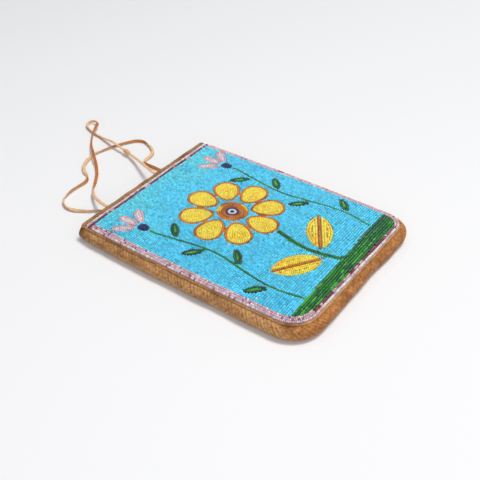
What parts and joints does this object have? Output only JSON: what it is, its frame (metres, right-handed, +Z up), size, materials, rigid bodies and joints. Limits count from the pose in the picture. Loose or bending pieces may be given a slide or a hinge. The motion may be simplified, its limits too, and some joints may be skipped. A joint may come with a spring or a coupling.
{
  "type": "beaded medicine bag",
  "caption": "Flat cloth bag with a fully beaded floral front, corduroy back and side walls, a folded hem at its open mouth and two soft thong loops lying beyond it.",
  "frame": {"origin": "centre of the bag's footprint, without the thongs, on the surface it lies on", "axes": "+X across the mouth, +Y out of the mouth, +Z up through the beaded front"},
  "size_m": [0.1872, 0.3779, 0.019],
  "materials": {
    "corduroy": "fine-waled cotton corduroy, worn and slightly soiled",
    "hem_cloth": "folded corduroy edge",
    "canvas": "plain woven cotton",
    "sky_beads": "opaque sky blue glass seed beads",
    "ground_beads": "green glass seed beads",
    "leaf_beads": "dark green glass seed beads",
    "yellow_beads": "opaque yellow glass seed beads",
    "orange_beads": "orange-brown glass seed beads",
    "navy_beads": "navy glass seed beads",
    "pink_beads": "pink glass seed beads",
    "lilac_beads": "mixed lilac, pink and white glass seed beads",
    "blush_beads": "pinkish white glass seed beads",
    "maroon_beads": "maroon glass seed beads",
    "buckskin": "soft napped buckskin"
  },
  "bodies": {
    "root": {"pouch_back": "corduroy", "front_canvas": "canvas", "front_hem": "hem_cloth", "back_hem": "hem_cloth", "border_left": "lilac_beads", "border_bottom": "pink_beads", "border_right": "pink_beads", "mouth_row_pale": "blush_beads", "mouth_row_maroon": "maroon_beads", "sky_field": "sky_beads", "ground_field": "ground_beads", "main_stem": "leaf_beads", "leaf_left_rib": "orange_beads", "leaf_left_upper": "yellow_beads", "leaf_left_lower": "yellow_beads", "leaf_right_rib": "orange_beads", "leaf_right_upper": "yellow_beads", "leaf_right_lower": "yellow_beads", "rosette_petal_1": "yellow_beads", "rosette_petal_2": "yellow_beads", "rosette_petal_3": "yellow_beads", "rosette_petal_4": "yellow_beads", "rosette_petal_5": "yellow_beads", "rosette_petal_6": "yellow_beads", "rosette_petal_7": "yellow_beads", "rosette_petal_8": "yellow_beads", "rosette_ring": "orange_beads", "rosette_centre": "navy_beads", "side_stem_left": "leaf_beads", "side_stem_right": "leaf_beads", "calyx_left": "navy_beads", "calyx_right": "navy_beads", "bud_left_petal_1": "blush_beads", "bud_left_petal_2": "blush_beads", "bud_left_petal_3": "blush_beads", "bud_right_petal_1": "blush_beads", "bud_right_petal_2": "blush_beads", "bud_right_petal_3": "blush_beads", "small_leaf_left_1": "leaf_beads", "small_leaf_left_2": "leaf_beads", "small_leaf_left_3": "leaf_beads", "small_leaf_left_4": "leaf_beads", "small_leaf_right_1": "leaf_beads", "small_leaf_right_2": "leaf_beads", "small_leaf_right_3": "leaf_beads", "small_leaf_right_4": "leaf_beads", "thong_front": "buckskin", "thong_back": "buckskin", "thong_splice": "buckskin"}
  },
  "joints": []
}
